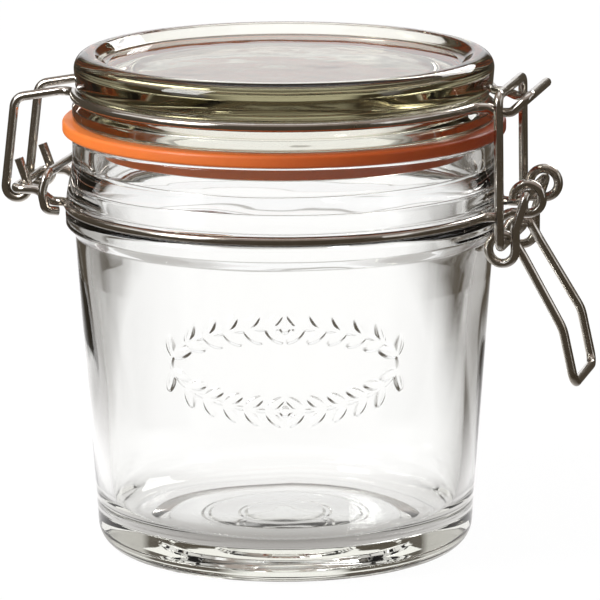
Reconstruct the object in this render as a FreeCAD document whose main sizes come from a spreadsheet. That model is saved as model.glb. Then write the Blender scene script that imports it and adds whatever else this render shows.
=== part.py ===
import FreeCAD, Part
import Sketcher
import os
import re
from math import acos, atan2, ceil, cos, pi, radians, sin, sqrt, tan

# A clip-top preserving jar: a glass jar and a glass lid with a rubber seal between them,
# held shut by bent steel wire. +Z is up, the clasp is on +X, the hinge is on -X, and the
# origin is at the middle of the base, on the surface that the jar stands on.

Vector = FreeCAD.Vector

sizes = {
    # Jar glass
    "LipHeight": 90.2,             # top of the jar's lip
    "NeckRadius": 45.4,            # outer radius of the straight neck, which the lid matches
    "LipThickness": 4.6,
    "LipRound": 0.9,
    "FootInset": 5.2,              # how much narrower the jar is at its foot than at its neck
    "WaistInset": 1.0,             # where the straight taper of the side ends
    "WaistDrop": 9.2,
    "ShoulderInset": 0.4,
    "ShoulderDrop": 6.5,           # from the neck wire down to the shoulder
    "HeelRound": 5.5,
    "FootWidth": 10.7,             # the ring that the jar stands on
    "PushUpSlope": 5.0,
    "PushUpHeight": 2.4,           # the hollow under the base
    "BeadOverhang": 1.6,
    "BeadRise": 2.3,               # height of the slope under the bead
    "BeadRound": 0.9,
    "FlareOverhang": 1.5,          # the neck just above the wire groove
    "FlareHeight": 8.0,
    "MouthDepth": 13.0,            # how far down the mouth's straight wall goes
    "WallThickness": 3.5,
    "FloorHeight": 6.6,
    "FloorCrown": 1.6,             # how far the middle of the floor rises
    "FloorRound": 6.5,
    # Wire
    "WireDiameter": 2.0,
    "GrooveDepthGap": 0.1,         # between a ring of wire and the bottom of its groove
    "GrooveSideGap": 0.12,         # above and below the ring of wire in its groove
    "SideGap": 0.15,               # between two wires that pass side by side
    "NeckWireDrop": 15.0,          # from the lip down to the neck wire
    "NeckWireStand": 1.1,          # the neck wire's middle, outside the straight neck
    "ArmBend": 3.0,                # where a ring of wire turns out into an arm
    # Lid glass
    "LidDepth": 14.0,              # from the face that presses on the seal to the top
    "LidFlangeHeight": 2.7,
    "LidEdgeRound": 0.6,
    "LidWireRise": 5.3,
    "LidWireInset": 0.5,
    "LidFootInset": 0.8,
    "LidRimInset": 0.2,
    "LidRimRound": 3.2,
    "LidRimWidth": 5.0,
    "LidRimInnerRound": 1.2,
    "DishDepth": 4.2,
    "DishSlope": 3.2,
    "DishRound": 2.4,
    "SpigotFit": 2.7,              # between the mouth and the ring under the lid
    "SpigotDepth": 5.0,
    "SpigotWall": 4.6,
    "SpigotRound": 1.4,
    "LidThickness": 6.0,
    # Seal
    "SealThickness": 3.1,
    "SealOverhang": 2.1,
    "SealFit": 0.4,                # between the seal and the ring under the lid
    "SealRound": 0.6,
    "LipGap": 0.2,                 # between the seal and the lip of the jar
    # Hinge
    "HingeStand": 11.6,            # from the straight neck out to the hinge bar
    "HingeRise": 2.4,              # from the neck wire up to the hinge bar
    "TongueHalfWidth": 12.0,       # to the middle of each arm of the neck wire's tongue
    "TongueBend": 2.4,
    "LidArmHalfWidth": 9.2,
    "LidArmDrop": 1.8,             # how far the lid wire's arm falls to the corner
    "LidArmLean": 0.2,
    "LidArmBend": 2.7,
    "HookPlay": 0.5,               # round the hinge bar, inside the lid wire's hook
    "LidHookTurn": 20.0,           # degrees past upright at which the hook runs out
    "LidHookEnd": 5.6,
    "TieStand": 3.6,               # from the straight neck out to the tie's back bar
    "TieRise": 6.3,
    "TieLowStand": 4.7,
    "TieEndStand": 1.5,
    "TieBend": 2.2,
    # Clasp
    "ClawStand": 9.5,              # from the straight neck to the claw that holds the axle
    "ClawRise": 4.3,
    "ClawPlay": 1.1,               # room for the axle in the claw
    "ClawHalfWidth": 9.3,
    "ClawTurn": 272.0,             # degrees of the claw, from its lowest point
    "AxleGap": 0.15,               # between the axle and the inside of the claw
    "AxleBend": 1.5,
    "NoseHalfWidth": 10.6,
    "NoseDip": 0.9,
    "NoseValleyStand": 6.1,
    "NoseStand": 10.0,
    "NoseRise": 2.6,
    "NoseBend": 2.2,
    "EyeStand": 4.3,               # from the straight neck out to the middle of the eye
    "EyeDrop": 10.9,               # from the claw down to the eye
    "EyePlay": 0.95,
    "EyeGap": 0.2,                 # between the link's pin and the inside of the eye
    "HandleSlope": 59.4,           # degrees below level
    "HandleHalfWidth": 10.8,
    "HandleBendStand": 17.5,
    "HandleBend": 8.5,
    "FootBarStand": 20.1,
    "FootBarDrop": 28.3,           # from the eye down to the bar at the end of the handle
    "FootBend": 2.6,
    "LinkStand": 3.9,
    "NoseGap": 1.0,                # between the link's bar and the nose that it lies over
    "LinkBend": 2.0,
}

# Sizes that follow from the ones above.
derived = {
    "MouthRadius": "NeckRadius - LipThickness",
    "BaseRadius": "NeckRadius - FootInset",
    "FootRadius": "BaseRadius - FootWidth",
    "PushUpRadius": "FootRadius - PushUpSlope",
    "WaistRadius": "NeckRadius - WaistInset",
    "ShoulderRadius": "NeckRadius - ShoulderInset",
    "BeadRadius": "NeckRadius + BeadOverhang",
    "FlareRadius": "NeckRadius + FlareOverhang",
    "NeckWireRadius": "NeckRadius + NeckWireStand",
    "NeckWireHeight": "LipHeight - NeckWireDrop",
    "ShoulderHeight": "NeckWireHeight - ShoulderDrop",
    "WaistHeight": "ShoulderHeight - WaistDrop",
    "SealRadius": "NeckRadius + SealOverhang",
    "SpigotRadius": "MouthRadius - SpigotFit",
    "LidFlangeRadius": "NeckRadius",
    "LidUnderside": "LipHeight + LipGap + SealThickness",
    "LidHeight": "LidUnderside + LidDepth",
    "LidWireRadius": "NeckRadius - LidWireInset",
    "LidWireHeight": "LidUnderside + LidWireRise",
    "LidRimFoot": "NeckRadius - LidFootInset",
    "LidRimRadius": "NeckRadius - LidRimInset",
    "LidRimInner": "LidRimRadius - LidRimWidth",
    "DishRadius": "LidRimInner - DishSlope",
    "HingeReach": "NeckRadius + HingeStand",
    "HingeHeight": "NeckWireHeight + HingeRise",
    "LidArmReach": "HingeReach + LidArmLean",
    "LidHookRadius": "WireDiameter + HookPlay",
    "TieReach": "NeckRadius + TieStand",
    "TieHeight": "NeckWireHeight + TieRise",
    "TieLowReach": "NeckRadius + TieLowStand",
    "TieEndReach": "NeckRadius + TieEndStand",
    "ClawReach": "NeckRadius + ClawStand",
    "ClawHeight": "NeckWireHeight + ClawRise",
    "ClawRadius": "WireDiameter + ClawPlay",
    "NoseValleyReach": "NeckRadius + NoseValleyStand",
    "NoseReach": "NeckRadius + NoseStand",
    "NoseHeight": "LidWireHeight + NoseRise",
    "EyeReach": "NeckRadius + EyeStand",
    "EyeHeight": "ClawHeight - EyeDrop",
    "EyeRadius": "WireDiameter + EyePlay",
    "HandleBendReach": "NeckRadius + HandleBendStand",
    "FootReach": "NeckRadius + FootBarStand",
    "FootHeight": "EyeHeight - FootBarDrop",
    "LinkReach": "NeckRadius + LinkStand",
    "LinkHeight": "LidWireHeight + WireDiameter + NoseGap",
}

os.makedirs("parts", exist_ok=True)
doc = FreeCAD.newDocument("ClipTopJar")
sheet = doc.addObject("Spreadsheet::Sheet", "Sizes")
for row, (alias, number) in enumerate(sizes.items(), start=1):
    cell = "B%d" % row
    sheet.set("A%d" % row, alias)
    sheet.set(cell, str(number))
    sheet.setAlias(cell, alias)
doc.recompute()


def bound(formula):
    """A formula on the sheet's aliases, as FreeCAD's expressions write it."""
    def word(found):
        name = found.group()
        return "(" + bound(derived[name]) + ")" if name in derived else "Sizes." + name
    return re.sub(r"[A-Z][A-Za-z]+", word, formula)


def size(formula):
    """What such a formula comes to now, in millimetres or degrees."""
    return float(sheet.evalExpression(bound(formula)))


# ---- turned pieces: a profile of corners, each at (radius, height) with its own rounding ----

def corner_shape(before, corner, after, rounding):
    """Where a rounded corner starts and ends, and the middle of its arc."""
    inward = (before - corner).normalize()
    outward = (after - corner).normalize()
    half = acos(max(-1.0, min(1.0, inward.dot(outward)))) / 2
    reach = rounding / tan(half)
    bisector = (inward + outward).normalize()
    centre = corner + bisector * (rounding / sin(half))
    middle = centre - bisector * rounding
    return corner + inward * reach, middle, corner + outward * reach


def turned(name, label, corners):
    """A body turned about Z from a closed profile whose corners are bound to the sheet."""
    body = doc.addObject("PartDesign::Body", name)
    body.Label = label
    plane = next(item for item in body.Origin.OriginFeatures if item.Role == "XZ_Plane")
    sketch = body.newObject("Sketcher::SketchObject", name + "Profile")
    sketch.AttachmentSupport = [(plane, "")]
    sketch.MapMode = "FlatFace"
    points = [Vector(size(across), size(up), 0) for across, up, rounding in corners]
    count = len(points)
    shapes = []
    for index, (across, up, rounding) in enumerate(corners):
        point = points[index]
        if rounding:
            shapes.append(corner_shape(points[index - 1], point, points[(index + 1) % count],
                                       size(rounding)))
        else:
            shapes.append((point, None, point))
    lines = []
    for index in range(count):
        start = shapes[index][2]
        end = shapes[(index + 1) % count][0]
        lines.append(sketch.addGeometry(Part.LineSegment(start, end), False))
    for index, (across, up, rounding) in enumerate(corners):
        before = lines[index - 1]
        after = lines[index]
        if rounding:
            arc = sketch.addGeometry(Part.Arc(*shapes[index]), False)
            started_first = (sketch.getPoint(arc, 1) - shapes[index][0]).Length < 0.0001
            near, far = (1, 2) if started_first else (2, 1)
            sketch.addConstraint(Sketcher.Constraint("Tangent", before, 2, arc, near))
            sketch.addConstraint(Sketcher.Constraint("Tangent", after, 1, arc, far))
            held = sketch.addGeometry(Part.Point(points[index]), True)
            sketch.addConstraint(Sketcher.Constraint("PointOnObject", held, 1, before))
            sketch.addConstraint(Sketcher.Constraint("PointOnObject", held, 1, after))
            radius = sketch.addConstraint(Sketcher.Constraint("Radius", arc, size(rounding)))
            sketch.setExpression("Constraints[%d]" % radius, bound(rounding))
            spot = (held, 1)
        else:
            sketch.addConstraint(Sketcher.Constraint("Coincident", before, 2, after, 1))
            spot = (after, 1)
        if points[index].x < 0.0001:
            sketch.addConstraint(Sketcher.Constraint("PointOnObject", *spot, -2))
        else:
            place = sketch.addConstraint(
                Sketcher.Constraint("DistanceX", -1, 1, *spot, points[index].x))
            sketch.setExpression("Constraints[%d]" % place, bound(across))
        if abs(points[index].y) < 0.0001:
            sketch.addConstraint(Sketcher.Constraint("PointOnObject", *spot, -1))
        else:
            place = sketch.addConstraint(
                Sketcher.Constraint("DistanceY", -1, 1, *spot, points[index].y))
            sketch.setExpression("Constraints[%d]" % place, bound(up))
    turn = body.newObject("PartDesign::Revolution", name + "Turn")
    turn.Profile = sketch
    turn.ReferenceAxis = (sketch, ["V_Axis"])
    turn.Angle = 360
    sketch.Visibility = False
    doc.recompute()
    return body


groove = "WireDiameter / 2 + GrooveSideGap"
seat = "WireDiameter / 2 + GrooveDepthGap"
side_slope = "(WaistRadius - BaseRadius) / WaistHeight"

jar_corners = [
    ("0", "PushUpHeight", None),
    ("PushUpRadius", "PushUpHeight", "HeelRound"),
    ("FootRadius", "0", "BeadRound"),
    ("BaseRadius", "0", "HeelRound"),
    ("WaistRadius", "WaistHeight", None),
    ("ShoulderRadius", "ShoulderHeight", "LipRound"),
    ("BeadRadius", "ShoulderHeight + BeadRise", "BeadRound"),
    ("BeadRadius", "NeckWireHeight - (%s)" % groove, None),
    ("NeckWireRadius - (%s)" % seat, "NeckWireHeight - (%s)" % groove, None),
    ("NeckWireRadius - (%s)" % seat, "NeckWireHeight + %s" % groove, None),
    ("FlareRadius", "NeckWireHeight + %s" % groove, None),
    ("NeckRadius", "NeckWireHeight + %s + FlareHeight" % groove, None),
    ("NeckRadius", "LipHeight", "LipRound"),
    ("MouthRadius", "LipHeight", "LipRound"),
    ("MouthRadius", "LipHeight - MouthDepth", "HeelRound"),
    ("WaistRadius - WallThickness", "WaistHeight", "HeelRound"),
    ("BaseRadius - WallThickness + %s * FloorHeight" % side_slope, "FloorHeight", "FloorRound"),
    ("0", "FloorHeight + FloorCrown", None),
]
jar = turned("JarBody", "jar_body", jar_corners)

seal_foot = "LipHeight + LipGap"
seal_corners = [
    ("SpigotRadius + SealFit", seal_foot, "SealRound"),
    ("SealRadius", seal_foot, "SealRound"),
    ("SealRadius", "LidUnderside", "SealRound"),
    ("SpigotRadius + SealFit", "LidUnderside", "SealRound"),
]
seal = turned("Seal", "seal", seal_corners)

lid_corners = [
    ("0", "LidHeight - DishDepth - LidThickness", None),
    ("SpigotRadius - SpigotWall", "LidHeight - DishDepth - LidThickness", "DishRound"),
    ("SpigotRadius - SpigotWall", "LidUnderside - SpigotDepth", "SpigotRound"),
    ("SpigotRadius", "LidUnderside - SpigotDepth", "SpigotRound"),
    ("SpigotRadius", "LidUnderside", None),
    ("LidFlangeRadius", "LidUnderside", "LidEdgeRound"),
    ("LidFlangeRadius", "LidUnderside + LidFlangeHeight", "LidEdgeRound"),
    ("LidWireRadius - (%s)" % seat, "LidWireHeight - (%s)" % groove, None),
    ("LidWireRadius - (%s)" % seat, "LidWireHeight + %s" % groove, None),
    ("LidRimFoot", "LidWireHeight + %s" % groove, None),
    ("LidRimRadius", "LidHeight", "LidRimRound"),
    ("LidRimInner", "LidHeight", "LidRimInnerRound"),
    ("DishRadius", "LidHeight - DishDepth", "DishRound"),
    ("0", "LidHeight - DishDepth", None),
]
lid = turned("Lid", "lid", lid_corners)


# ---- bent wire: a path of corners, each with its own bend, swept by the wire's section ----

def wire_edges(stops, closed=False):
    """Straight runs and tangent arcs through a list of (corner, bend radius)."""
    count = len(stops)
    arcs = []
    for index, (corner, bend) in enumerate(stops):
        if not bend:
            arcs.append((corner, None, corner))
            continue
        before = stops[index - 1][0]
        after = stops[(index + 1) % count][0]
        inward = (before - corner).normalize()
        outward = (after - corner).normalize()
        half = acos(max(-1.0, min(1.0, inward.dot(outward)))) / 2
        arcs.append(corner_shape(before, corner, after, bend))
    edges = []
    for index in range(count):
        start, middle, end = arcs[index]
        if middle:
            edges.append(Part.Arc(start, middle, end).toShape())
        if index == count - 1 and not closed:
            break
        following = arcs[(index + 1) % count][0]
        run = stops[(index + 1) % count][0] - stops[index][0]
        if (following - end).dot(run) < -0.0001:
            raise ValueError("bends overlap after corner %d at %s" % (index, stops[index][0]))
        if (following - end).Length > 0.0001:
            edges.append(Part.LineSegment(end, following).toShape())
    return edges


def bent_wire(name, label, stops, closed=False):
    """A wire of round section along a path of corners and bends."""
    spine = doc.addObject("Part::Feature", name + "Path")
    path = Part.Wire(wire_edges(stops, closed))
    spine.Shape = path
    section = doc.addObject("Part::Circle", name + "Section")
    section.setExpression("Radius", bound("WireDiameter / 2"))
    first = path.OrderedEdges[0]
    start = first.valueAt(first.FirstParameter)
    heading = first.tangentAt(first.FirstParameter)
    section.Placement = FreeCAD.Placement(start, FreeCAD.Rotation(Vector(0, 0, 1), heading))
    sweep = doc.addObject("Part::Sweep", name)
    sweep.Label = label
    sweep.Sections = [section]
    sweep.Spine = (spine, [])
    sweep.Solid = True
    sweep.Frenet = False
    doc.recompute()
    expected = path.Length * pi * size("WireDiameter / 2") ** 2
    print(label, "volume over section times length: %.5f" % (sweep.Shape.Volume / expected))
    return sweep


def arc_stops(centre, radius, start, finish, most=60.0, drift=None):
    """Corners round an arc in the XZ plane, its angles in degrees anticlockwise from +X."""
    steps = ceil(abs(finish - start) / most)
    step = (finish - start) / steps
    reach = radius / cos(radians(step / 2))
    stops = []
    for index in range(steps):
        angle = radians(start + step * (index + 0.5))
        spot = centre + Vector(reach * cos(angle), 0, reach * sin(angle))
        stops.append((spot, radius))
    return stops


def ring_stops(radius, height, start, finish, most=45.0):
    """Corners round an arc of a level ring about Z, its angles in degrees from +X."""
    steps = ceil(abs(finish - start) / most)
    step = (finish - start) / steps
    reach = radius / cos(radians(step / 2))
    stops = []
    for index in range(steps):
        angle = radians(start + step * (index + 0.5))
        stops.append((Vector(reach * cos(angle), reach * sin(angle), height), radius))
    return stops


def ring_exit(radius, bend, half_width):
    """Where a ring of wire turns out into an arm along X at a distance of half_width."""
    centre_x = sqrt((radius + bend) ** 2 - (half_width + bend) ** 2)
    angle = atan2(half_width + bend, centre_x)
    corner_y = half_width
    corner_x = (radius - corner_y * sin(angle)) / cos(angle)
    return corner_x, angle * 180 / pi, centre_x


def mirrored(stops):
    """The same corners on the other side of the jar, in the opposite order."""
    return [(Vector(spot.x, -spot.y, spot.z), bend) for spot, bend in reversed(stops)]


wire = size("WireDiameter")
bend = size("ArmBend")

# The neck wire: a claw at each end, half a ring each side, and the hinge tongue at the back.
neck_radius = size("NeckWireRadius")
neck_height = size("NeckWireHeight")
claw_y = size("ClawHalfWidth")
claw = Vector(size("ClawReach"), claw_y, size("ClawHeight"))
claw_radius = size("ClawRadius")
bar_height = claw.z - claw_radius
front_x, front_angle, front_straight = ring_exit(neck_radius, bend, claw_y)
tongue_y = size("TongueHalfWidth")
rear_x, rear_angle, rear_straight = ring_exit(neck_radius, bend, tongue_y)
hinge = Vector(-size("HingeReach"), 0, size("HingeHeight"))

neck_side = []
turn = size("ClawTurn")
tip = radians(turn - 90)
neck_side.append((claw + Vector(cos(tip), 0, sin(tip)) * claw_radius, None))
neck_side += arc_stops(claw, claw_radius, turn - 90, -90)
neck_side.append((Vector(front_straight + 3.2, claw_y, bar_height), bend))
neck_side.append((Vector(front_straight + 1.2, claw_y, neck_height), bend / 2))
neck_side.append((Vector(front_x, claw_y, neck_height), bend))
neck_side += ring_stops(neck_radius, neck_height, front_angle, 180 - rear_angle)
neck_side.append((Vector(-rear_x, tongue_y, neck_height), bend))
neck_side.append((Vector(-rear_straight - 1.2, tongue_y, neck_height), bend / 2))
neck_side.append((Vector(-rear_straight - 4.6, tongue_y, hinge.z), bend))
neck_side.append((hinge + Vector(0, tongue_y, 0), size("TongueBend")))
neck_wire = bent_wire("NeckWire", "neck_wire", neck_side + mirrored(neck_side))

# The lid wire: a hook at each end, an arm down from the lid, half a ring each side, and the
# nose at the front that the link pulls down.
lid_radius = size("LidWireRadius")
lid_height = size("LidWireHeight")
arm_y = size("LidArmHalfWidth")
hook = hinge + Vector(0, arm_y, 0)
hook_radius = size("LidHookRadius")
rear_x, rear_angle, rear_straight = ring_exit(lid_radius, bend, arm_y)
nose_y = size("NoseHalfWidth")
front_x, front_angle, front_straight = ring_exit(lid_radius, bend, nose_y)
valley = lid_height - size("NoseDip")

lid_side = []
lean = radians(size("LidHookTurn"))
end_way = Vector(-sin(lean), 0, cos(lean))
hook_end = hook + Vector(cos(lean), 0, sin(lean)) * hook_radius
lid_side.append((hook_end + end_way * size("LidHookEnd"), None))
elbow = Vector(-size("LidArmReach"), arm_y, lid_height - size("LidArmDrop"))
rod = elbow - hook
rod_leaves = atan2(rod.z, rod.x) + acos(hook_radius / rod.Length) - 2 * pi
lid_side += arc_stops(hook, hook_radius, size("LidHookTurn"), rod_leaves * 180 / pi)
lid_side.append((elbow, size("LidArmBend")))
lid_side.append((Vector(-rear_straight - 1.0, arm_y, lid_height), bend))
lid_side.append((Vector(-rear_x, arm_y, lid_height), bend))
lid_side += ring_stops(lid_radius, lid_height, 180 - rear_angle, front_angle)
lid_side.append((Vector(front_x, nose_y, lid_height), bend))
lid_side.append((Vector(front_straight + 0.6, nose_y, lid_height), bend / 2))
lid_side.append((Vector(front_straight + 2.6, nose_y, valley), bend / 2))
lid_side.append((Vector(size("NoseValleyReach"), nose_y, valley), wire))
lid_side.append((Vector(size("NoseReach"), nose_y, size("NoseHeight")), size("NoseBend")))
lid_wire = bent_wire("LidWire", "lid_wire", lid_side + mirrored(lid_side))

# The hinge tie: it hooks under both arms of the tongue and crosses behind the neck.
tie_y = tongue_y + wire + size("SideGap")
tie_side = [
    (Vector(-size("TieEndReach"), tongue_y + 0.6, neck_height - wire), None),
    (Vector(-size("TieReach") - 0.3, tie_y, neck_height - wire + 0.4), wire * 0.8),
    (Vector(-size("TieLowReach"), tie_y, hinge.z), size("TieBend") * 2),
    (Vector(-size("TieReach"), tie_y - 0.6, size("TieHeight")), size("TieBend")),
]
hinge_tie = bent_wire("HingeTie", "hinge_tie", tie_side + mirrored(tie_side))

# The lever: its axle lies in both claws, and each end runs down to an eye and on to the handle.
strand_y = claw_y + wire + size("SideGap")
axle = claw + Vector(0, 0, claw_radius - wire - size("AxleGap"))
eye = Vector(size("EyeReach"), 0, size("EyeHeight"))
eye_radius = size("EyeRadius")
slope = radians(size("HandleSlope"))
leave = 90 - size("HandleSlope") - 360
eye_in_y = strand_y
eye_out_y = strand_y - wire - size("SideGap")
handle_y = size("HandleHalfWidth")

lever_side = [(Vector(axle.x, strand_y, axle.z), size("AxleBend"))]
coil = arc_stops(eye, eye_radius, 0, leave, 50.0)
lever_side.append((Vector(eye.x + eye_radius, strand_y, eye.z + eye_radius * 1.6), wire * 2))
for index, (spot, turn) in enumerate(coil):
    along = (index + 0.5) / len(coil)
    level = strand_y + (eye_out_y - strand_y) * along
    lever_side.append((Vector(spot.x, level, spot.z), turn * 0.985))
way = Vector(cos(slope), 0, -sin(slope))
off = radians(leave)
coil_end = eye + Vector(cos(off), 0, sin(off)) * eye_radius
lever_side.append((coil_end + way * 3.0 + Vector(0, eye_out_y, 0), wire * 2))
reach = (size("HandleBendReach") - coil_end.x) / cos(slope)
handle_bend = coil_end + way * reach
lever_side.append((handle_bend + Vector(0, handle_y, 0), size("HandleBend")))
lever_side.append((Vector(size("FootReach"), handle_y, size("FootHeight")), size("FootBend")))
lever = bent_wire("Lever", "lever", lever_side + mirrored(lever_side), closed=True)

# The link: a closed loop from the pin in both eyes up to the bar over the nose.
link_y = strand_y + wire + size("SideGap")
pin = eye + Vector(0, 0, eye_radius - wire - size("EyeGap"))
link_corners = [
    Vector(pin.x, link_y, pin.z),
    Vector(pin.x, -link_y, pin.z),
    Vector(size("LinkReach"), -link_y, size("LinkHeight")),
    Vector(size("LinkReach"), link_y, size("LinkHeight")),
]
link = bent_wire("Link", "link", [(spot, size("LinkBend")) for spot in link_corners], closed=True)


# ---- every piece is checked before any is written ----

pieces = [jar, lid, seal, neck_wire, lid_wire, hinge_tie, lever, link]
for item in doc.Objects:
    if "Invalid" in item.State or "Error" in item.State:
        raise RuntimeError("failed: " + item.Name)
for piece in pieces:
    shape = piece.Shape
    if shape.isNull() or not shape.isValid() or len(shape.Solids) != 1:
        raise RuntimeError("bad shape: " + piece.Label)
    if shape.Volume <= 0:
        raise RuntimeError("no volume: " + piece.Label)
for piece in pieces:
    piece.Shape.exportStep("parts/" + piece.Label + ".step")
    box = piece.Shape.BoundBox
    print("%-10s %9.1f mm3  x %.1f to %.1f  y %.1f to %.1f  z %.1f to %.1f" % (
        piece.Label, piece.Shape.Volume, box.XMin, box.XMax, box.YMin, box.YMax,
        box.ZMin, box.ZMax))
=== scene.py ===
import math
import random

import bpy
import numpy as np
from mathutils import Matrix, Vector


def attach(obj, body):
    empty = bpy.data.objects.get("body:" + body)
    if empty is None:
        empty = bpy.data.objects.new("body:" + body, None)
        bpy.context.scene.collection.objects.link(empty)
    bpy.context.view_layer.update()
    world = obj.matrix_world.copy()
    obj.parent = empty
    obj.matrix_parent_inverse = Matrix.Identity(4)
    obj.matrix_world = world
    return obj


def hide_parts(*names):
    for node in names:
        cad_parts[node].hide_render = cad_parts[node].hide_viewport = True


# A clip-top jar: lathed glass, a rubber seal and bent chrome wire. +X points to the clasp,
# -X to the hinge, and the jar stands on z = 0. Blender works in metres; the sizes of the
# glass, the seal and the wreath are in mm.

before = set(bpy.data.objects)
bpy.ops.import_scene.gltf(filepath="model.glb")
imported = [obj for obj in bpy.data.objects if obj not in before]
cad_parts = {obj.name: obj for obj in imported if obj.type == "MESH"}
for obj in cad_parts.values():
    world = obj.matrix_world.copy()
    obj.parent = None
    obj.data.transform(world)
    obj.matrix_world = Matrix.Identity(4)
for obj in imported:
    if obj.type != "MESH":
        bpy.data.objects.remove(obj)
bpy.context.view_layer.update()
mm = 0.001
bpy.context.scene.view_settings.view_transform = "Standard"


class Sock:
    # wraps an output socket, so that shader maths reads as plain Python
    def __init__(self, tree, out):
        self.tree = tree
        self.out = out

    def maths(self, operation, *values, clamp=False):
        node = self.tree.nodes.new("ShaderNodeMath")
        node.operation = operation
        node.use_clamp = clamp
        for index, value in enumerate(values):
            plug(self.tree, node.inputs[index], value)
        return Sock(self.tree, node.outputs[0])

    def __add__(self, other):
        return self.maths("ADD", self, other)

    def __radd__(self, other):
        return self.maths("ADD", other, self)

    def __sub__(self, other):
        return self.maths("SUBTRACT", self, other)

    def __rsub__(self, other):
        return self.maths("SUBTRACT", other, self)

    def __mul__(self, other):
        return self.maths("MULTIPLY", self, other)

    def __rmul__(self, other):
        return self.maths("MULTIPLY", other, self)

    def __truediv__(self, other):
        return self.maths("DIVIDE", self, other)

    def __rtruediv__(self, other):
        return self.maths("DIVIDE", other, self)

    def __abs__(self):
        return self.maths("ABSOLUTE", self)

    def clamped(self):
        return self.maths("ADD", self, 0.0, clamp=True)

    def highest(self, other):
        return self.maths("MAXIMUM", self, other)


def plug(tree, socket, value):
    # a link where the value is a Sock, and a plain default otherwise
    if isinstance(value, Sock):
        tree.links.new(value.out, socket)
    elif isinstance(value, (tuple, list)) and socket.type == "RGBA" and len(value) == 3:
        socket.default_value = (*value, 1.0)
    else:
        socket.default_value = value


class Recipe:
    # a material or a world that is being put together
    def __init__(self, owner):
        owner.use_nodes = True
        self.owner = owner
        self.tree = owner.node_tree
        self.tree.nodes.clear()

    def add(self, kind, settings=None, out=0, **values):
        # settings are set first; an input goes by its name, or by its number as i0, i1 and so on
        node = self.tree.nodes.new("ShaderNode" + kind)
        for key, value in (settings or {}).items():
            if key == "stops":
                ramp = node.color_ramp
                while len(ramp.elements) < len(value):
                    ramp.elements.new(0.5)
                for stop, (place, colour) in zip(ramp.elements, value):
                    stop.position = place
                    stop.color = (*colour, 1.0)
            else:
                setattr(node, key, value)
        for key, value in values.items():
            name = key.replace("_", " ")
            index = int(key[1:]) if key[0] == "i" and key[1:].isdigit() else name
            plug(self.tree, node.inputs[index], value)
        return Sock(self.tree, node.outputs[out])

    def mixColour(self, factor, first, second):
        return self.add("Mix", {"data_type": "RGBA"}, out=2, i0=factor, i6=first, i7=second)

    def rayIs(self, sort):
        return self.add("LightPath", out="Is " + sort + " Ray")

    def finish(self, surface, volume=None):
        isWorld = isinstance(self.owner, bpy.types.World)
        output = self.tree.nodes.new("ShaderNodeOutputWorld" if isWorld else "ShaderNodeOutputMaterial")
        self.tree.links.new(surface.out, output.inputs["Surface"])
        if volume:
            self.tree.links.new(volume.out, output.inputs["Volume"])
        return self.owner


def newMaterial(name):
    return Recipe(bpy.data.materials.new(name))


def addToScene(name, data):
    thing = bpy.data.objects.new(name, data)
    bpy.context.scene.collection.objects.link(thing)
    return thing


def along(recipe, vector, axis):
    # how far a vector reaches along an axis
    return recipe.add("VectorMath", {"operation": "DOT_PRODUCT"}, out=1, i0=vector, i1=tuple(axis))


def blackToWhite(low, high):
    # the stops of a ramp that is black up to low and white from high
    return {"stops": [(low, (0.0, 0.0, 0.0)), (high, (1.0, 1.0, 1.0))]}


glassLook = {
    "jar": {
        "tint": (0.985, 0.988, 0.985),
        "rippleTint": (0.975, 0.98, 0.975),
        "depth": (0.86, 0.86, 0.80),      # the colour that thick glass takes on
        "density": 18.0,
    },
    "lid": {
        "tint": (0.975, 0.975, 0.95),
        "rippleTint": (0.95, 0.955, 0.92),
        "depth": (0.72, 0.70, 0.57),
        "density": 42.0,
    },
    "ior": 1.5,
    "roughness": 0.012,
    "rippleRoughness": 0.02,
    "rippleStretch": (1.0, 1.0, 0.45),
    "rippleScale": 55.0,
    "rippleStrength": 0.10,
    "rippleHeight": 0.0012,
    "seedScale": 330.0,                   # seeds are tiny bubbles
    "seedSize": 0.055,
    "seedContrast": 6.0,
    "seedHeight": 0.02,                   # as a share of a ripple's
}


def glassMaterial(name, glass):
    m = newMaterial(name)
    place = m.add("TexCoord", out="Object")
    stretch = m.add("Mapping", Vector=place, Scale=glassLook["rippleStretch"])
    ripple = m.add("TexNoise", Vector=stretch, Scale=glassLook["rippleScale"], Detail=2.0, Roughness=0.45)
    seeds = m.add("TexVoronoi", Vector=place, Scale=glassLook["seedScale"])
    seedMask = (glassLook["seedSize"] - seeds).clamped() * glassLook["seedContrast"]
    colour = m.mixColour(ripple, glass["tint"], glass["rippleTint"])
    rough = glassLook["roughness"] + ripple * glassLook["rippleRoughness"]
    bump = m.add("Bump", Strength=glassLook["rippleStrength"], Distance=glassLook["rippleHeight"],
                 Height=ripple + seedMask * glassLook["seedHeight"])
    shader = m.add("BsdfPrincipled", Base_Color=colour, Roughness=rough, IOR=glassLook["ior"],
                   Transmission_Weight=1.0, Normal=bump)
    inside = m.add("VolumeAbsorption", Color=glass["depth"], Density=glass["density"])
    return m.finish(shader, inside)


sealLook = {
    "orange": (0.86, 0.215, 0.024),
    # the dark red that both the clouds and the painted shade towards the clasp mix towards
    "deep": (0.46, 0.045, 0.008),
    "bloom": (0.92, 0.26, 0.07),
    "bloomRamp": (0.55, 0.75),            # where in the clouds the bloom starts, and is full
    "bloomShare": 0.25,
    "cloudScale": 60.0,
    "cloudShare": 0.5,
    "paintedShadePerMetre": 8.0,                     # painted shade: how much darker and redder the rubber gets for each metre towards the clasp
    "deepAtMiddle": 0.2,
    "roughness": 0.38,
    "cloudRoughness": 0.2,
    "grainScale": 1800.0,
    "grainStrength": 0.25,
    "grainHeight": 0.0002,
    "ior": 1.5,
    "softShare": 0.15,                    # light that goes a little way into the rubber
    "softDepth": 0.002,
    "coat": 0.15,
}


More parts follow.
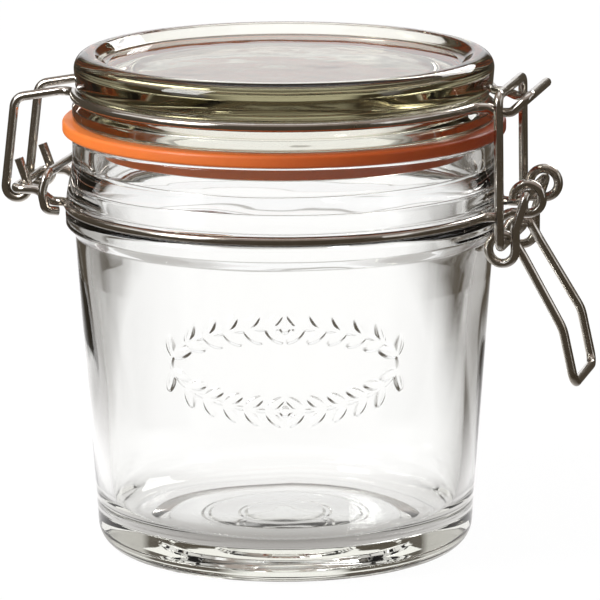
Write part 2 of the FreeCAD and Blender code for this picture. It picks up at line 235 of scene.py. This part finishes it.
def sealMaterial():
    m = newMaterial("sealRubber")
    place = m.add("TexCoord", out="Object")
    cloud = m.add("TexNoise", Vector=place, Scale=sealLook["cloudScale"], Detail=4.0, Roughness=0.6)
    grain = m.add("TexNoise", Vector=place, Scale=sealLook["grainScale"], Detail=2.0)
    bloom = m.add("ValToRGB", blackToWhite(*sealLook["bloomRamp"]), Fac=cloud)
    # painted shade: the base colour darkens towards the clasp (+X), standing in for the weaker light on
    # that side, on top of the darker clouds
    paintedShadeToClasp = along(m, place, (1, 0, 0)) * sealLook["paintedShadePerMetre"]
    cloudsAndPaintedShade = (cloud * sealLook["cloudShare"] + paintedShadeToClasp + sealLook["deepAtMiddle"]).clamped()
    base = m.mixColour(cloudsAndPaintedShade, sealLook["orange"], sealLook["deep"])
    colour = m.mixColour(bloom * sealLook["bloomShare"], base, sealLook["bloom"])
    rough = sealLook["roughness"] + cloud * sealLook["cloudRoughness"]
    bump = m.add("Bump", Strength=sealLook["grainStrength"], Distance=sealLook["grainHeight"], Height=grain)
    shader = m.add("BsdfPrincipled", Base_Color=colour, Roughness=rough, IOR=sealLook["ior"],
                   Subsurface_Weight=sealLook["softShare"], Subsurface_Scale=sealLook["softDepth"],
                   Coat_Weight=sealLook["coat"], Normal=bump)
    return m.finish(shader)


wireLook = {
    "bright": (0.62, 0.59, 0.55),
    "dull": (0.44, 0.39, 0.32),
    "stain": (0.24, 0.15, 0.08),
    "dullRamp": (0.42, 0.72),             # where in the clouds dull metal starts, and is full
    "stainRamp": (0.66, 0.78),
    "stainShare": 0.5,
    "cloudScale": 120.0,
    "roughness": 0.10,
    "dullRoughness": 0.16,
    "scratchRoughness": 0.05,
    "scratchScale": 2600.0,
    "scratchStrength": 0.12,
    "scratchHeight": 0.00008,
}


def wireMaterial():
    m = newMaterial("wireChrome")
    place = m.add("TexCoord", out="Object")
    cloud = m.add("TexNoise", Vector=place, Scale=wireLook["cloudScale"], Detail=5.0, Roughness=0.65)
    scratch = m.add("TexNoise", Vector=place, Scale=wireLook["scratchScale"], Detail=2.0)
    dulled = m.add("ValToRGB", blackToWhite(*wireLook["dullRamp"]), Fac=cloud)
    stained = m.add("ValToRGB", blackToWhite(*wireLook["stainRamp"]), Fac=cloud)
    base = m.mixColour(dulled, wireLook["bright"], wireLook["dull"])
    colour = m.mixColour(stained * wireLook["stainShare"], base, wireLook["stain"])
    rough = (wireLook["roughness"] + dulled * wireLook["dullRoughness"]
             + scratch * wireLook["scratchRoughness"])
    bump = m.add("Bump", Strength=wireLook["scratchStrength"], Distance=wireLook["scratchHeight"],
                 Height=scratch)
    shader = m.add("BsdfPrincipled", Base_Color=colour, Metallic=1.0, Roughness=rough, Normal=bump)
    return m.finish(shader)


jarGlass = glassMaterial("jarGlass", glassLook["jar"])
lidGlass = glassMaterial("lidGlass", glassLook["lid"])
sealRubber = sealMaterial()
wireChrome = wireMaterial()
print("materials made")

onAxis = 1e-6                             # a radius in mm below this is the axis


def roundedProfile(corners, arcSteps=10, longest=1.5):
    # corners of (radius, height, rounding) in mm, as points along the finished outline
    points = []
    count = len(corners)
    for index, (r, z, rounding) in enumerate(corners):
        corner = Vector((r, z))
        if not rounding:
            points.append(corner)
            continue
        before = (Vector(corners[index - 1][:2]) - corner).normalized()
        after = (Vector(corners[(index + 1) % count][:2]) - corner).normalized()
        half = math.acos(max(-1.0, min(1.0, before.dot(after)))) / 2
        bisector = (before + after).normalized()
        centre = corner + bisector * (rounding / math.sin(half))
        start = corner + before * (rounding / math.tan(half)) - centre
        turn = math.pi - 2 * half
        side = 1 if before.x * after.y - before.y * after.x < 0 else -1
        for step in range(arcSteps + 1):
            angle = side * turn * step / arcSteps
            spin = Matrix.Rotation(angle, 2)
            points.append(centre + spin @ start)
    dense = []
    for index, point in enumerate(points):
        following = points[(index + 1) % len(points)]
        if index == len(points) - 1 and point.x < onAxis and following.x < onAxis:
            dense.append(point)           # an open outline ends here, on the axis
            break
        steps = max(1, math.ceil((following - point).length / longest))
        for step in range(steps):
            dense.append(point.lerp(following, step / steps))
    return dense


def lathe(name, profile, angles, material, closed=False, shift=None):
    # turns a profile about Z; the ends of an open profile meet the axis
    columns = len(angles)
    verts = []
    faces = []
    rows = []
    for r, z in profile:
        if r < onAxis:
            rows.append([len(verts)] * columns)
            verts.append((0.0, 0.0, z * mm))
            continue
        rows.append(list(range(len(verts), len(verts) + columns)))
        radii = np.full(columns, r)
        if shift is not None:
            radii = radii + shift(r, z, angles)
        for angle, radius in zip(angles, radii):
            verts.append((radius * math.cos(angle) * mm, radius * math.sin(angle) * mm, z * mm))
    rowCount = len(rows)
    spans = rowCount if closed else rowCount - 1
    for row in range(spans):
        lower = rows[row]
        upper = rows[(row + 1) % rowCount]
        for column in range(columns):
            following = (column + 1) % columns
            ring = [lower[column], lower[following], upper[following], upper[column]]
            face = list(dict.fromkeys(ring))
            if len(face) > 2:
                faces.append(face)
    mesh = bpy.data.meshes.new(name)
    mesh.from_pydata(verts, [], faces)
    mesh.validate()
    mesh.shade_smooth()
    mesh.materials.append(material)
    return addToScene(name, mesh)


evenColumns = 288                         # round the lid and the seal
evenAngles = np.linspace(0, 2 * math.pi, evenColumns, endpoint=False)

# corners are radius, height and rounding: under the base, up the outside and down the inside
jarSizes = {
    "corners": [
        (0, 2.4, 0), (8.0, 2.4, 0.3), (8.5, 2.75, 0.3), (9.4, 2.75, 0.3), (9.9, 2.3, 0.3),
        (16.0, 2.3, 0.3), (16.5, 2.65, 0.3), (17.6, 2.65, 0.3), (18.1, 2.1, 0.3), (25.0, 1.9, 2.0),
        (29.5, 0, 0.9), (40.2, 0, 5.5), (44.4, 59.5, 0), (45.0, 68.7, 0.9), (47.0, 71.0, 0.9),
        (47.0, 74.08, 0), (45.4, 74.08, 0), (45.4, 76.32, 0), (46.9, 76.32, 0), (45.4, 84.32, 0),
        (45.4, 90.2, 0.9), (40.8, 90.2, 0.9), (40.8, 83.6, 2.0), (43.0, 79.6, 2.0),
        (42.6, 74.6, 2.5), (41.1, 68.4, 4.0), (40.9, 59.5, 5.5), (37.166, 6.6, 6.5), (0, 8.2, 0),
    ],
    "wave": 0.13,                         # how far the inner wall mostly waves in or out
    "waves": 7,
    "seed": 7,
    "waveCounts": (1, 9),                 # the ranges that each wave's count round the jar,
    "waveTurns": (0.02, 0.16),            # its turn per mm up and its start are drawn from
    "waveStarts": (0, 6.28),
    "waveHeights": (8.5, 86),             # it waves between these heights
    "waveFade": 6,                        # and dies away over this much below the upper one
    "waveRadius": 30,                     # the base within this radius is left alone
    "midWallBase": 38.8,                  # a line within the glass parts the inner wall from the outer
    "midWallGrowth": 0.0706,
    "midWallTop": 60,
    "midWallAbove": 43.5,
    "neckHeight": 66,                     # finer ripples above this height
    "neckRipples": ((5, 0.9, 0.05), (11, -0.5, 0.035)),   # count round, turn per mm and size
}


def smoothNoise(seed, waves, angles, z):
    # a sum of soft waves round and up the wall, mostly between -1 and 1
    source = random.Random(seed)
    total = np.zeros(len(angles))
    for index in range(waves):
        around = source.randint(*jarSizes["waveCounts"])
        upward = source.uniform(*jarSizes["waveTurns"])
        start = source.uniform(*jarSizes["waveStarts"])
        total = total + np.sin(angles * around + z * upward + start) / waves ** 0.5
    return total


def innerWave(r, z, angles):
    # how far the inner wall stands out from its outline; everything else stays put
    low, high = jarSizes["waveHeights"]
    midWall = jarSizes["midWallBase"] + z * jarSizes["midWallGrowth"]
    if z >= jarSizes["midWallTop"]:
        midWall = jarSizes["midWallAbove"]
    if not (low < z < high and jarSizes["waveRadius"] < r < midWall):
        return np.zeros(len(angles))
    fade = min(1.0, (high - z) / jarSizes["waveFade"])
    wave = smoothNoise(jarSizes["seed"], jarSizes["waves"], angles, z) * jarSizes["wave"]
    ripple = sum(np.sin(angles * count + z * turn) * size
                 for count, turn, size in jarSizes["neckRipples"])
    return (wave + ripple * (z > jarSizes["neckHeight"])) * fade


# an oval wreath of small leaves, raised on the front of the jar
wreath = {
    "facing": math.atan2(-0.9724, 0.2332),
    "middle": 47.5,                       # its height on the jar
    "wide": 25.0,                         # half its width and half its height
    "tall": 9.0,
    "leaf": (2.3, 0.95),                  # half a leaf's length and half its width
    "leafPower": 1.7,                     # 2 is an ellipse, and less is more pointed
    "leafSoftness": 0.6,
    "leaves": 6,                          # pairs of them in each quarter
    "leafStart": 0.06,                    # shares of a quarter's length
    "leafReach": 0.80,
    "tilt": 0.72,
    "ribDepth": 0.4,
    "ribWidth": 0.25,
    "stem": 0.30,
    "stemShare": 0.7,                     # of the height of a leaf
    "berry": 1.05,
    "berrySpots": ((0, 9.0), (0, -9.0), (-2.7, 8.8), (2.7, 8.8)),
    "raise": 0.52,
    "edge": 0.62,
    "edgeSteepness": 6,
    "wallHeights": (30, 64),              # the stretch of outer wall that it may raise
    "wallRadius": 40.5,                   # points further in than this are the inner wall
    "wallGrowth": 0.06,
    "closeHeights": (32, 63),             # rows are close here, outside the radius below
    "closeRadius": 41,
    "closeStep": 0.3,
    "halfView": 0.78,                     # close columns this far each side of its middle
    "frontColumns": 261,
    "backColumns": 200,
}


def softEdge(distance):
    # 1 inside a shape and 0 outside, with a soft edge; distance is in mm and positive outside
    steps = distance * wreath["edgeSteepness"] / wreath["edge"]
    return 1 / (1 + np.exp(np.clip(steps, -60, 60)))      # clipped, so that exp stays finite


def leafTurns():
    # the angles at even steps along a quarter of the wreath's oval
    turns = np.linspace(0.0, math.pi / 2, 400)
    xs, ys = wreath["wide"] * np.cos(turns), wreath["tall"] * np.sin(turns)
    run = np.concatenate([[0.0], np.cumsum(np.hypot(np.diff(xs), np.diff(ys)))])
    last = wreath["leaves"] - 1
    shares = [wreath["leafStart"] + wreath["leafReach"] * step / last for step in range(last + 1)]
    return [np.interp(run[-1] * share, run, turns) for share in shares]


def leafHeight(across, up, base, lie):
    # one leaf that starts at base and points along lie
    long, short = wreath["leaf"]
    power = wreath["leafPower"]
    fromX, fromY = across - base[0] - lie[0] * long, up - base[1] - lie[1] * long
    lengthwise = (fromX * lie[0] + fromY * lie[1]) / long
    crosswise = (fromY * lie[0] - fromX * lie[1]) / short
    beyond = np.abs(lengthwise) ** power + np.abs(crosswise) ** power - 1
    rib = 1 - wreath["ribDepth"] * np.exp(-(crosswise * short / wreath["ribWidth"]) ** 2)
    return softEdge(beyond * short * wreath["leafSoftness"]) * rib


def wreathHeight(across, up):
    # how far the glass stands out at places that are across and up from the wreath's middle
    wide, tall = wreath["wide"], wreath["tall"]
    turnAt = np.arctan2(up / tall, across / wide)
    ring = np.abs(np.hypot(across / wide, up / tall) - 1)
    slope = np.hypot(np.cos(turnAt) / wide, np.sin(turnAt) / tall)
    best = softEdge(ring / slope - wreath["stem"]) * wreath["stemShare"]
    for turn in leafTurns():
        for side in (-1, 1):
            for half in (-1, 1):
                base = np.array([side * wide * math.cos(turn), half * tall * math.sin(turn)])
                way = np.array([-side * wide * math.sin(turn), half * tall * math.cos(turn)])
                way = way / np.hypot(*way)
                for tilt in (-wreath["tilt"], wreath["tilt"]):
                    lie = np.array([way[0] * math.cos(tilt) - way[1] * math.sin(tilt),
                                    way[0] * math.sin(tilt) + way[1] * math.cos(tilt)])
                    best = np.maximum(best, leafHeight(across, up, base, lie))
    for x, y in wreath["berrySpots"]:
        best = np.maximum(best, softEdge(np.hypot(across - x, up - y) - wreath["berry"]))
    return best * wreath["raise"]


def jarSurface(r, z, angles):
    outward = innerWave(r, z, angles)
    low, high = wreath["wallHeights"]
    if low < z < high and r > wreath["wallRadius"] + (z - low) * wreath["wallGrowth"]:
        away = (angles - wreath["facing"] + math.pi) % (2 * math.pi) - math.pi
        outward = outward + wreathHeight(away * r, np.full(len(angles), z - wreath["middle"]))
    return outward


halfView = wreath["halfView"]
frontAngles = wreath["facing"] + np.linspace(-halfView, halfView, wreath["frontColumns"])
backSpan = np.linspace(halfView, 2 * math.pi - halfView, wreath["backColumns"])
backAngles = wreath["facing"] + backSpan[1:-1]
jarAngles = np.concatenate([frontAngles, backAngles])


def jarProfile():
    # the outline, with close steps where the wreath stands on the outer wall
    points = []
    low, high = wreath["closeHeights"]
    outline = roundedProfile(jarSizes["corners"])
    for index, point in enumerate(outline):
        points.append(point)
        following = outline[(index + 1) % len(outline)]
        if point.x > wreath["closeRadius"] and low < point.y < following.y < high:
            steps = math.ceil((following - point).length / wreath["closeStep"])
            points += [point.lerp(following, step / steps) for step in range(1, steps)]
    return points


jarPiece = lathe("jarGlassBody", jarProfile(), jarAngles, jarGlass, shift=jarSurface)
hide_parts("jar_body")
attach(jarPiece, "jar")

# under the lid, round the ring that hangs in the mouth, up the outside and over the top
lidSizes = {
    "corners": [
        (0, 97.3, 0), (33.5, 97.3, 2.4), (33.5, 86.3, 1.4), (38.1, 86.3, 1.4), (38.1, 93.5, 0),
        (45.4, 93.5, 0.6), (45.4, 96.2, 0.6), (43.8, 97.68, 0), (43.8, 99.92, 0), (44.6, 99.92, 0),
        (45.2, 107.5, 3.2), (40.6, 107.5, 1.0), (38.2, 105.3, 2.4), (0, 105.3, 0),
    ],
}
lidPiece = lathe("lidGlassDisc", roundedProfile(lidSizes["corners"]), evenAngles, lidGlass)
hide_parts("lid")
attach(lidPiece, "lid_group")

# the first three corners are the skirt beside the ring under the lid
sealSizes = {
    "corners": [
        (38.02, 86.9, 0.45), (39.3, 86.9, 0.45), (39.6, 90.4, 0.5), (47.5, 90.6, 0.7),
        (47.5, 93.3, 0.7), (38.02, 93.45, 0.6),
    ],
    "arcSteps": 6,
    "longest": 1.0,
}
sealOutline = roundedProfile(sealSizes["corners"], sealSizes["arcSteps"], sealSizes["longest"])
sealPiece = lathe("sealRing", sealOutline, evenAngles, sealRubber, closed=True)
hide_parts("seal")
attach(sealPiece, "lid_group")
print("glass and seal made")

for nodeName in ("neck_wire", "hinge_tie", "lid_wire", "lever", "link"):
    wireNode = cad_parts[nodeName]
    for wireSlot in wireNode.material_slots:
        wireSlot.material = wireChrome
    wireNode.data.shade_smooth()
print("wires dressed")

cameraPlan = {
    "place": (0.2536, -1.0564, 0.2809),
    "forward": (-0.2256, 0.9524, -0.2051),
    "roll": -0.0026,
    "lens": 308.85,
    "sensor": 36.0,
    "clipEnd": 20.0,
}
forward = Vector(cameraPlan["forward"]).normalized()
right = forward.cross(Vector((0, 0, 1))).normalized()
upward = right.cross(forward)
cosRoll, sinRoll = math.cos(cameraPlan["roll"]), math.sin(cameraPlan["roll"])
right, upward = right * cosRoll + upward * sinRoll, upward * cosRoll - right * sinRoll
cameraData = bpy.data.cameras.new("camera")
cameraData.lens = cameraPlan["lens"]
cameraData.sensor_width = cameraPlan["sensor"]
cameraData.clip_end = cameraPlan["clipEnd"]
camera = addToScene("camera", cameraData)
turned = Matrix((right, upward, -forward)).transposed().to_4x4()
camera.matrix_world = Matrix.Translation(Vector(cameraPlan["place"])) @ turned
bpy.context.scene.camera = camera
print("camera set")

# The camera sees plain white. Glass and metal see a room: a backdrop and a lane of paper behind
# the jar, dark strips beside them, three soft boxes, and a pale tone all round for rays that go
# through glass. A span is low, high and softness, and a rise is where it starts and how steep
# it is. Both are parts of a direction, from -1 to 1; distances on the floor are in metres.
studio = {
    "white": (1.0, 1.0, 1.0),
    "room": (0.085, 0.070, 0.052),
    "ceiling": (0.42, 0.36, 0.33),
    "ceilingFrom": 0.45,
    "ceilingFade": 0.3,
    "pale": (0.58, 0.565, 0.55),
    "paleBelow": 0.62,
    "paleSteepness": 5,
    "stripSide": (0.20, 0.60, 0.05),      # the dark strips beside the backdrop
    "stripAhead": (0.3, 10),
    "flankSide": (0.84, 16),              # the dark flanks, right and left of the jar
    "flankAhead": (-0.35, 8),
    "flankDark": 0.85,
    "box": (1.25, 1.25, 1.27),            # the colour of the soft boxes and the backdrop
    "leftBox": ((-0.92, -0.60, 0.06), (-0.1, 0.72, 0.08), (-0.75, 0.35, 0.05)),   # aside, height, ahead
    "rightBox": ((0.70, 0.93, 0.06), (-0.1, 0.62, 0.08), (-0.6, 0.3, 0.05)),
    "topBox": ((-0.35, 0.30, 0.05), (0.80, 1.1, 0.03), (-0.2, 0.55, 0.05)),
    "backdropAside": (-0.24, 0.20, 0.07),
    "backdropHeight": (-0.2, 0.36, 0.10),
    "backdropAhead": (0.5, 10),
    "backdropShare": 0.85,
    "fillLeft": (1.15, 1.13, 1.09),       # the world's light on matt surfaces, left to right
    "fillRight": (0.02, 0.018, 0.018),
    "fillTurn": 0.95,
    "fillMiddle": 0.62,
    "paper": (1.17, 1.16, 1.165),
    "paperHalfWidth": 0.122,
    "paperSideFade": 0.06,
    "paperShift": 0.012,
    "paperFrom": -0.065,
    "paperFromFade": 0.11,
    "paperTo": 0.95,
    "paperToFade": 0.35,
    "paleFrom": (0.065, 22),              # how far out on the floor the pale tone starts
    "floorReach": 3.0,
    "floorGrey": (0.5, 0.5, 0.5),
    "floorWhite": (1.05, 1.05, 1.05),
    "floorGlow": 0.93,                    # the camera sees this much plain white, and the rest is lit
    "lampTarget": (0, 0, 0.06),
    "keyLeft": {"place": (-0.55, -0.55, 0.55), "size": (0.35, 0.5), "power": 6.0},
    "rim": {"place": (0.25, 0.75, 0.6), "size": (0.5, 0.3), "power": 3.0},
}
flatForward = Vector((forward.x, forward.y, 0)).normalized()
flatRight = Vector((flatForward.y, -flatForward.x, 0))


def between(value, low, high, soft):
    # 1 where value lies between low and high, with soft edges
    return ((value - low) / soft).clamped() * ((high - value) / soft).clamped()


def above(value, low, steepness):
    # 0 where value is low or less, and soon 1 above it
    return ((value - low) * steepness).clamped()


def openRoom(ahead, side):
    # 1 where the room is pale, and 0 in the dark strips and flanks; side is never negative
    strips = between(side, *studio["stripSide"]) * above(ahead, *studio["stripAhead"])
    flanks = above(side, *studio["flankSide"]) * above(ahead, *studio["flankAhead"])
    return 1 - strips.highest(flanks * studio["flankDark"])


world = Recipe(bpy.data.worlds.new("studio"))
bpy.context.scene.world = world.owner
direction = world.add("TexCoord", out="Generated")
ahead = along(world, direction, flatForward)
aside = along(world, direction, flatRight)
height = along(world, direction, (0, 0, 1))
throughGlass = world.rayIs("Transmission")


def softBox(name):
    asideSpan, heightSpan, aheadSpan = studio[name]
    return between(aside, *asideSpan) * between(height, *heightSpan) * between(ahead, *aheadSpan)


ceilingShare = ((height - studio["ceilingFrom"]) / studio["ceilingFade"]).clamped()
room = world.mixColour(ceilingShare, studio["room"], studio["ceiling"])
lowDown = ((studio["paleBelow"] - height) * studio["paleSteepness"]).clamped()
paleShare = openRoom(ahead, abs(aside)) * throughGlass * lowDown
room = world.mixColour(paleShare, room, studio["pale"])
backdrop = between(aside, *studio["backdropAside"]) * between(height, *studio["backdropHeight"])
backdrop = backdrop * above(ahead, *studio["backdropAhead"]) * studio["backdropShare"]
boxes = softBox("leftBox").highest(softBox("rightBox")).highest(softBox("topBox"))
room = world.mixColour(boxes.highest(backdrop), room, studio["box"])
fillShare = (aside * studio["fillTurn"] + studio["fillMiddle"]).clamped()
fill = world.mixColour(fillShare, studio["fillLeft"], studio["fillRight"])
around = world.mixColour(world.rayIs("Glossy").highest(throughGlass), fill, room)
shown = world.mixColour(world.rayIs("Camera"), around, studio["white"])
world.finish(world.add("Background", Color=shown, Strength=1.0))

floorSkin = newMaterial("floorWhite")
floorCamera = floorSkin.rayIs("Camera")
floorThrough = floorSkin.rayIs("Transmission")
floorSeen = floorCamera.highest(floorSkin.rayIs("Glossy")).highest(floorThrough)
floorPlace = floorSkin.add("TexCoord", out="Object")
behind = along(floorSkin, floorPlace, flatForward)
beside = abs(along(floorSkin, floorPlace, flatRight) + studio["paperShift"])
lane = ((studio["paperHalfWidth"] - beside) / studio["paperSideFade"]).clamped()
lane = lane * ((behind - studio["paperFrom"]) / studio["paperFromFade"]).clamped()
lane = lane * ((studio["paperTo"] - behind) / studio["paperToFade"]).clamped()
spread = floorSkin.add("VectorMath", {"operation": "LENGTH"}, out=1, i0=floorPlace)
farOut = above(spread, *studio["paleFrom"]) * floorThrough
floorPale = openRoom(behind / spread, beside / spread) * farOut
roomTone = floorSkin.mixColour(floorPale, studio["room"], studio["pale"])
floorTone = floorSkin.mixColour(lane, roomTone, studio["paper"])
floorTone = floorSkin.mixColour(floorCamera, floorTone, studio["floorWhite"])
floorDiffuse = floorSkin.add("BsdfDiffuse", Color=studio["floorGrey"])
floorGlow = floorSkin.add("Emission", Color=floorTone, Strength=1.0)
floorShare = floorSeen * (floorCamera * (studio["floorGlow"] - 1.0) + 1.0)
floorMix = floorSkin.add("MixShader", i0=floorShare, i1=floorDiffuse, i2=floorGlow)
floorSkin.finish(floorMix)
floorMesh = bpy.data.meshes.new("floor")
reach = studio["floorReach"]
floorCorners = [(-reach, -reach, 0), (reach, -reach, 0), (reach, reach, 0), (-reach, reach, 0)]
floorMesh.from_pydata(floorCorners, [], [(0, 1, 2, 3)])
floorMesh.materials.append(floorSkin.owner)
floor = addToScene("floor", floorMesh)

for lampName in ("keyLeft", "rim"):
    plan = studio[lampName]
    lampData = bpy.data.lights.new(lampName, "AREA")
    lampData.shape = "RECTANGLE"
    lampData.size, lampData.size_y = plan["size"]
    lampData.energy = plan["power"]
    lamp = addToScene(lampName, lampData)
    lamp.location = plan["place"]
    towards = Vector(studio["lampTarget"]) - Vector(plan["place"])
    lamp.rotation_euler = towards.to_track_quat("-Z", "Y").to_euler()
print("studio set")
